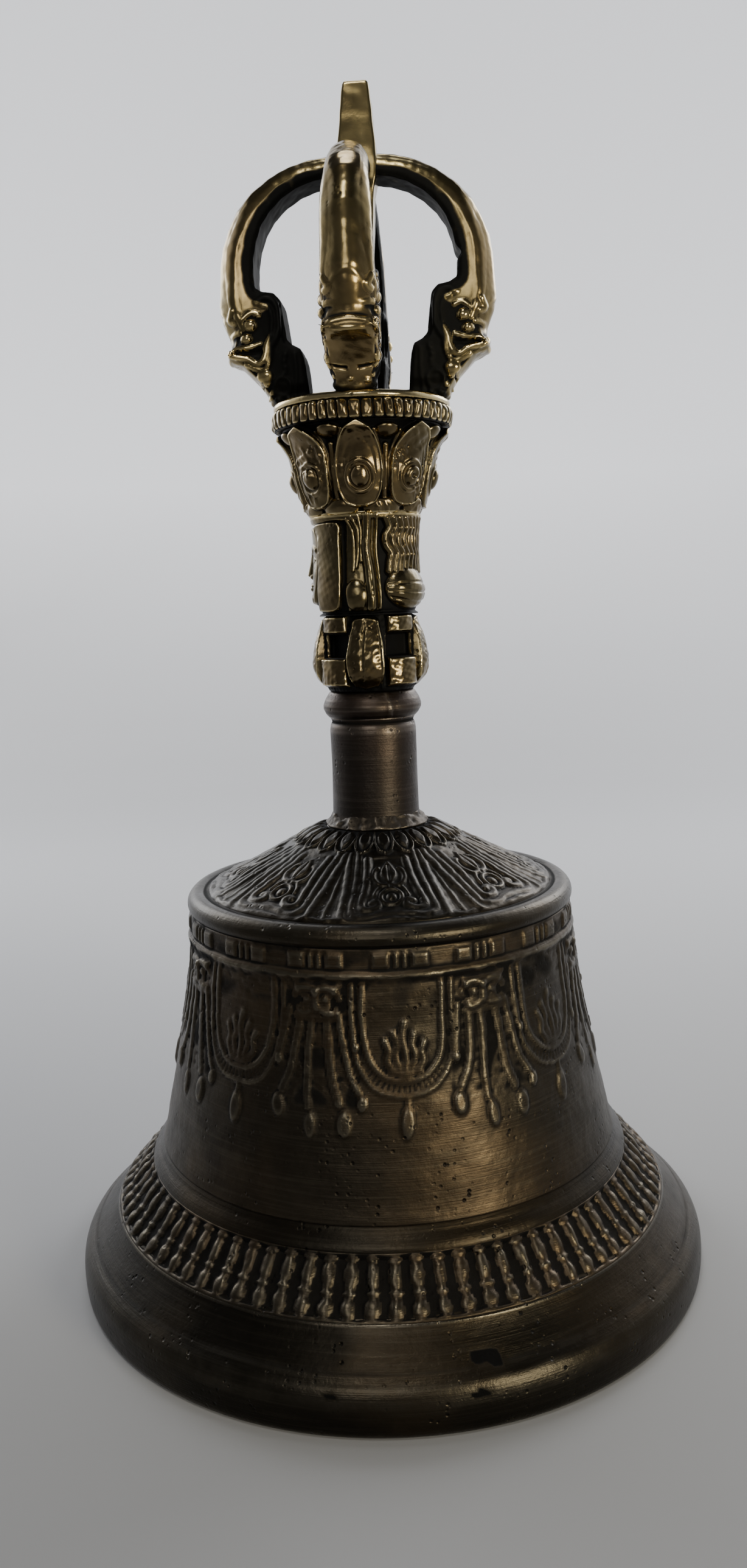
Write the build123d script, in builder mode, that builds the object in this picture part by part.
from build123d import *
import os
from math import cos, radians, sin

# A Tibetan hand bell: a bronze bell, a brass handle in sections that ends in half a vajra, and a
# clapper on a loose link.
# Millimetres, +Z up. The origin is on the axis, in the plane of the mouth, where the bell stands.
# The bell's front is towards -Y, and the face on the handle looks towards -X.
# Outlines are lists of (radius, height).

# Bell body, outside
mouth_r = 50.0
edge_round = 0.6
lip_bulge = (50.1, 2.8)  # the lip's face is very slightly round
crease = (48.6, 7.2)  # ridge where the lip turns in
fence_low = (43.7, 12.6)  # the ring of upright beads
fence_top = (37.8, 19.4)
wall_outline = [(35.3, 25.0), (33.7, 33.0), (31.4, 44.0)]
shoulder_r, shoulder_low_z, shoulder_high_z = 30.2, 54.6, 59.6
shoulder_round = (29.8, 60.7)
crown_edge = (28.4, 61.3)
crown_outline = [(22.5, 63.4), (13.5, 68.0)]
seat_r, seat_z = 8.3, 70.9  # flat seat under the neck

# Bell body, inside
lip_inner = (45.0, 1.8)
bow_outline = [(40.6, 10.4), (35.2, 18.6)]  # thick sound bow above the lip
inner_wall = (31.6, 27.0)
inner_outline = [(29.4, 38.0), (27.5, 49.0), (26.2, 56.0), (21.0, 60.8), (13.5, 64.6)]
crown_under_r, crown_under_z = 6.4, 67.2

# Rods and the holes that they pass through
rod_r = 2.0
hole_r = rod_r + 0.1

# Neck
neck_r, neck_bore_r = 6.8, 4.4
neck_top_z, neck_top_wall = 87.6, 2.0
braze_r, braze_z = 8.2, 72.6
braze_hollow = (7.3, 71.5)
ferrule_foot_r, ferrule_bulge = 7.0, (7.65, 89.4)
ferrule_waist_r, ferrule_top_z = 6.6, 91.7

# Bulb with four petals
bulb_outline = [(9.05, 94.8), (9.0, 96.8), (8.1, 100.4)]
bulb_top_r, bulb_top_z = 7.1, 103.3
window_count, window_wide, window_floor_r = 4, 5.0, 5.2
window_low_z, window_high_z = 96.9, 100.5

# Head section and lotus capital
head_outline = [(8.4, 106.2), (8.6, 110.0), (8.5, 114.0)]
head_top_r, head_top_z = 8.9, 118.0
capital_outline = [(10.7, 122.6), (11.4, 127.2)]
capital_top_r, capital_top_z = 13.0, 130.9
notch_count, notch_r, notch_z = 8, 12.2, 125.0
notch_long, notch_wide, notch_high = 3.0, 1.3, 8.0

# Pearl ring and the table that the prongs stand on
pearl_inner_r, pearl_bulge, pearl_top_z = 10.4, (13.9, 132.4), 133.6
table_r, table_top_z = 13.35, 134.8

# Prongs: the outside from the foot up to the spine, then the inside back down
prong_angles = {"prong_front": -90, "prong_right": 0, "prong_back": 90, "prong_left": 180}
foot_inner = (7.5, table_top_z)
foot_outer = (13.1, table_top_z)
jaw_outline = [(15.6, 138.4), (19.7, 141.5)]  # ends at the point of the lower jaw
pinch = (19.2, 143.4)
arm_outer = [(20.9, 149.0), (20.3, 155.3), (18.9, 160.4), (15.3, 165.5), (9.5, 168.9)]
arm_top_z, arm_under_z = 169.9, 166.4
arm_inner = [(7.9, 165.4), (11.6, 163.0), (13.5, 160.4), (14.9, 155.3)]
crest_outline = [(15.0, 151.4), (12.0, 150.6), (10.9, 148.5), (10.3, 143.8), (8.1, 142.4)]
side_outline = [(2.9, 133.8), (3.7, 140.0), (3.95, 150.0), (3.5, 160.0), (2.5, 171.0)]

# Centre spine: half widths across its flats
tip_half, tip_z = 1.9, 180.0
joint_half, joint_low_z, joint_high_z = 3.1, 165.8, 171.0
root_half = 2.6
spine_round = 0.6
tenon_r, tenon_long = 1.4, 9.0  # the core rod's end, screwed into the spine

# Core rod's head and the staple's spread legs, inside the neck
rod_head_r, rod_head_thick = 3.9, 1.8
leg_long, leg_wide, leg_thick = 7.8, 3.2, 1.4
washer_r, washer_thick = 5.6, 1.3

# Rings of the suspension; their radii are to the middle of the wire
wire_r, eye_r = 1.1, 3.0  # both eyes
link_wire_r, ring_play = 0.9, 0.3
link_bend_r = wire_r + ring_play + link_wire_r
upper_pivot_z, lower_pivot_z = 58.4, 50.4
upper_eye_z, lower_eye_z = upper_pivot_z + eye_r, lower_pivot_z - eye_r

# Clapper
shank_r = 1.7
bob_low_z, bob_top_z = 3.4, 17.4
bob_foot_r, bob_neck_r = 3.2, 2.7
bob_outline = [(7.4, 9.2), (4.6, 15.2)]
peen_r, peen_thick, peen_taper = 2.6, 0.9, 25


def save(part, label):
    part.label = label
    export_step(part, f"parts/{label}.step")
    print(f"{label}: {len(part.solids())} solid, {part.volume:.1f} mm3")


# The upright plane through the axis at an angle: local x points outwards, local y is up
def radial_plane(angle):
    a = radians(angle)
    return Plane(origin=(0, 0, 0), x_dir=(cos(a), sin(a), 0), z_dir=(sin(a), -cos(a), 0))


# The upright plane square to that one: local x runs sideways, local y is up
def facing_plane(angle):
    a = radians(angle)
    return Plane(origin=(0, 0, 0), x_dir=(-sin(a), cos(a), 0), z_dir=(cos(a), sin(a), 0))


os.makedirs("parts", exist_ok=True)

# Bell body: one closed outline, up the outside, down the staple's hole and back along the inside
lip_outer_edge = (mouth_r - edge_round, 0)
lip_inner_edge = (lip_inner[0] + edge_round, 0)
shoulder_low, shoulder_high = (shoulder_r, shoulder_low_z), (shoulder_r, shoulder_high_z)
seat_edge = (seat_r, seat_z)
crown_under = (crown_under_r, crown_under_z)

with BuildPart() as bell_body:
    with BuildSketch(Plane.XZ):
        with BuildLine():
            Line(lip_inner_edge, lip_outer_edge)
            ThreePointArc(lip_outer_edge, lip_bulge, crease)
            Polyline(crease, fence_low, fence_top)
            Spline(fence_top, *wall_outline, shoulder_low)
            Line(shoulder_low, shoulder_high)
            ThreePointArc(shoulder_high, shoulder_round, crown_edge)
            Spline(crown_edge, *crown_outline, seat_edge)
            Polyline(seat_edge, (hole_r, seat_z), (hole_r, crown_under_z), crown_under)
            Spline(crown_under, *reversed(inner_outline), inner_wall)
            Spline(inner_wall, *reversed(bow_outline), lip_inner)
            Line(lip_inner, lip_inner_edge)
        make_face()
    revolve(axis=Axis.Z)
save(bell_body.part, "bell_body")

# Neck: a tube with a closed top, the braze around its foot and the ring on its top
bore_top_z = neck_top_z - neck_top_wall

with BuildPart() as neck_tube:
    with BuildSketch(Plane.XY.offset(seat_z)):
        Circle(neck_r)
    extrude(amount=neck_top_z - seat_z)
    with BuildSketch(Plane.XY.offset(seat_z)):
        Circle(neck_bore_r)
    extrude(amount=bore_top_z - seat_z, mode=Mode.SUBTRACT)
    with Locations((0, 0, neck_top_z)):
        Hole(radius=hole_r, depth=neck_top_wall)
save(neck_tube.part, "neck_tube")

with BuildPart() as braze_fillet:
    with BuildSketch(Plane.XZ):
        with BuildLine():
            Line((neck_r, seat_z), (braze_r, seat_z))
            ThreePointArc((braze_r, seat_z), braze_hollow, (neck_r, braze_z))
            Line((neck_r, braze_z), (neck_r, seat_z))
        make_face()
    revolve(axis=Axis.Z)
save(braze_fillet.part, "braze_fillet")

ferrule_foot = (ferrule_foot_r, neck_top_z)
ferrule_waist = (ferrule_waist_r, ferrule_top_z)

with BuildPart() as ferrule_ring:
    with BuildSketch(Plane.XZ):
        with BuildLine():
            Line((neck_bore_r, neck_top_z), ferrule_foot)
            ThreePointArc(ferrule_foot, ferrule_bulge, ferrule_waist)
            Polyline(ferrule_waist, (neck_bore_r, ferrule_top_z), (neck_bore_r, neck_top_z))
        make_face()
    revolve(axis=Axis.Z)
save(ferrule_ring.part, "ferrule_ring")

# Bulb: bored for the rod, with a deep blind window between each two of its petals
bulb_top = (bulb_top_r, bulb_top_z)
window_z = (window_low_z + window_high_z) / 2
window_high = window_high_z - window_low_z
window_middle_r = bulb_outline[0][0]
window_deep = 2 * (window_middle_r - window_floor_r)

with BuildPart() as lotus_bulb:
    with BuildSketch(Plane.XZ):
        with BuildLine():
            Line((hole_r, ferrule_top_z), ferrule_waist)
            Spline(ferrule_waist, *bulb_outline, bulb_top)
            Polyline(bulb_top, (hole_r, bulb_top_z), (hole_r, ferrule_top_z))
        make_face()
    revolve(axis=Axis.Z)
    with Locations((0, 0, window_z)):
        with PolarLocations(window_middle_r, window_count, start_angle=180 / window_count):
            Box(window_deep, window_wide, window_high, mode=Mode.SUBTRACT)
save(lotus_bulb.part, "lotus_bulb")

head_top = (head_top_r, head_top_z)

with BuildPart() as head_section:
    with BuildSketch(Plane.XZ):
        with BuildLine():
            Line((hole_r, bulb_top_z), bulb_top)
            Spline(bulb_top, *head_outline, head_top)
            Polyline(head_top, (hole_r, head_top_z), (hole_r, bulb_top_z))
        make_face()
    revolve(axis=Axis.Z)
save(head_section.part, "head_section")

# Lotus capital, with a notch between each two of its petals
capital_top = (capital_top_r, capital_top_z)

with BuildPart() as lotus_capital:
    with BuildSketch(Plane.XZ):
        with BuildLine():
            Line((hole_r, head_top_z), head_top)
            Spline(head_top, *capital_outline, capital_top)
            Polyline(capital_top, (hole_r, capital_top_z), (hole_r, head_top_z))
        make_face()
    revolve(axis=Axis.Z)
    with Locations((0, 0, notch_z)):
        with PolarLocations(notch_r, notch_count, start_angle=180 / notch_count):
            Box(notch_long, notch_wide, notch_high, mode=Mode.SUBTRACT)
save(lotus_capital.part, "lotus_capital")

# Pearl ring, and the table whose hub sits inside it
pearl_top = (table_r, pearl_top_z)

with BuildPart() as pearl_ring:
    with BuildSketch(Plane.XZ):
        with BuildLine():
            Line((pearl_inner_r, capital_top_z), capital_top)
            ThreePointArc(capital_top, pearl_bulge, pearl_top)
            Polyline(pearl_top, (pearl_inner_r, pearl_top_z), (pearl_inner_r, capital_top_z))
        make_face()
    revolve(axis=Axis.Z)
save(pearl_ring.part, "pearl_ring")

with BuildPart() as prong_table:
    with BuildSketch(Plane.XY.offset(capital_top_z)):
        Circle(pearl_inner_r)
    extrude(amount=table_top_z - capital_top_z)
    with BuildSketch(Plane.XY.offset(pearl_top_z)):
        Circle(table_r)
    extrude(amount=table_top_z - pearl_top_z)
    with Locations((0, 0, table_top_z)):
        Hole(radius=hole_r, depth=table_top_z - capital_top_z)
save(prong_table.part, "prong_table")

# Prongs: a slab with the side outline, trimmed to the front outline
arm_top, arm_under = (joint_half, arm_top_z), (joint_half, arm_under_z)
right_side = side_outline
left_side = [(-half, z) for half, z in reversed(side_outline)]

for name, angle in prong_angles.items():
    with BuildPart() as prong:
        with BuildSketch(radial_plane(angle)):
            with BuildLine():
                Line(foot_inner, foot_outer)
                Spline(foot_outer, *jaw_outline)
                Line(jaw_outline[-1], pinch)
                Spline(pinch, *arm_outer, arm_top)
                Line(arm_top, arm_under)
                Spline(arm_under, *arm_inner, crest_outline[0])
                Polyline(*crest_outline, foot_inner)
            make_face()
        extrude(amount=mouth_r, both=True)
        with BuildSketch(facing_plane(angle)):
            with BuildLine():
                Spline(*right_side)
                Line(right_side[-1], left_side[0])
                Spline(*left_side)
                Line(left_side[-1], right_side[0])
            make_face()
        extrude(amount=mouth_r, mode=Mode.INTERSECT)
    save(prong.part, name)

# Centre spine: a slim root in the cage, a block where the prongs meet it, and a blunt tapered tip
spine_stages = [
    (table_top_z, root_half, joint_low_z, root_half),
    (joint_low_z, joint_half, joint_high_z, joint_half),
    (joint_high_z, joint_half, tip_z, tip_half),
]

with BuildPart() as centre_spine:
    for low_z, low_half, high_z, high_half in spine_stages:
        with BuildSketch(Plane.XY.offset(low_z)):
            RectangleRounded(2 * low_half, 2 * low_half, spine_round)
        with BuildSketch(Plane.XY.offset(high_z)):
            RectangleRounded(2 * high_half, 2 * high_half, spine_round)
        loft()
    with BuildSketch(Plane.XY.offset(table_top_z)):
        Circle(tenon_r)
    extrude(amount=tenon_long, mode=Mode.SUBTRACT)
save(centre_spine.part, "centre_spine")

# Core rod: its head bears under the neck's top wall, and its tenon is in the spine
with BuildPart() as core_rod:
    with BuildSketch(Plane.XY.offset(bore_top_z)):
        Circle(rod_head_r)
    extrude(amount=-rod_head_thick)
    with BuildSketch(Plane.XY.offset(bore_top_z)):
        Circle(rod_r)
    extrude(amount=table_top_z - bore_top_z)
    with BuildSketch(Plane.XY.offset(table_top_z)):
        Circle(tenon_r)
    extrude(amount=tenon_long)
save(core_rod.part, "core_rod")

# Clapper staple: an eye under the crown, its pin up through it, and the legs spread on the seat
pin_low_z = upper_eye_z + eye_r

with BuildPart() as clapper_staple:
    with Locations((0, 0, upper_eye_z)):
        Torus(eye_r, wire_r, rotation=(90, 0, 0))
    with BuildSketch(Plane.XY.offset(pin_low_z)):
        Circle(rod_r)
    extrude(amount=seat_z - pin_low_z)
    with BuildSketch(Plane.XY.offset(seat_z)):
        Rectangle(leg_long, leg_wide)
    extrude(amount=leg_thick)
save(clapper_staple.part, "clapper_staple")

with BuildPart() as staple_washer:
    with BuildSketch(Plane.XY.offset(crown_under_z)):
        Circle(washer_r)
        Circle(hole_r, mode=Mode.SUBTRACT)
    extrude(amount=-washer_thick)
save(staple_washer.part, "staple_washer")

# Link: a long ring of wire, its bends centred on the two pivots
with BuildPart() as clapper_link:
    with BuildLine(Plane.YZ) as link_path:
        CenterArc((0, upper_pivot_z), link_bend_r, 0, 180)
        Line((-link_bend_r, upper_pivot_z), (-link_bend_r, lower_pivot_z))
        CenterArc((0, lower_pivot_z), link_bend_r, 180, 180)
        Line((link_bend_r, lower_pivot_z), (link_bend_r, upper_pivot_z))
    with BuildSketch(Plane.XY.offset(upper_pivot_z)):
        with Locations((0, link_bend_r)):
            Circle(link_wire_r)
    sweep(path=link_path.wires()[0])
save(clapper_link.part, "clapper_link")

# Clapper: a rod with an eye at its top, peened over under the bob
shank_top_z = lower_eye_z - eye_r

with BuildPart() as clapper_shank:
    with Locations((0, 0, lower_eye_z)):
        Torus(eye_r, wire_r, rotation=(90, 0, 0))
    with BuildSketch(Plane.XY.offset(bob_low_z)):
        Circle(shank_r)
    extrude(amount=shank_top_z - bob_low_z)
    with BuildSketch(Plane.XY.offset(bob_low_z)):
        Circle(peen_r)
    extrude(amount=-peen_thick, taper=peen_taper)
save(clapper_shank.part, "clapper_shank")

with BuildPart() as clapper_bob:
    with BuildSketch(Plane.XZ):
        with BuildLine():
            Line((shank_r, bob_low_z), (bob_foot_r, bob_low_z))
            Spline((bob_foot_r, bob_low_z), *bob_outline, (bob_neck_r, bob_top_z))
            Polyline((bob_neck_r, bob_top_z), (shank_r, bob_top_z), (shank_r, bob_low_z))
        make_face()
    revolve(axis=Axis.Z)
save(clapper_bob.part, "clapper_bob")
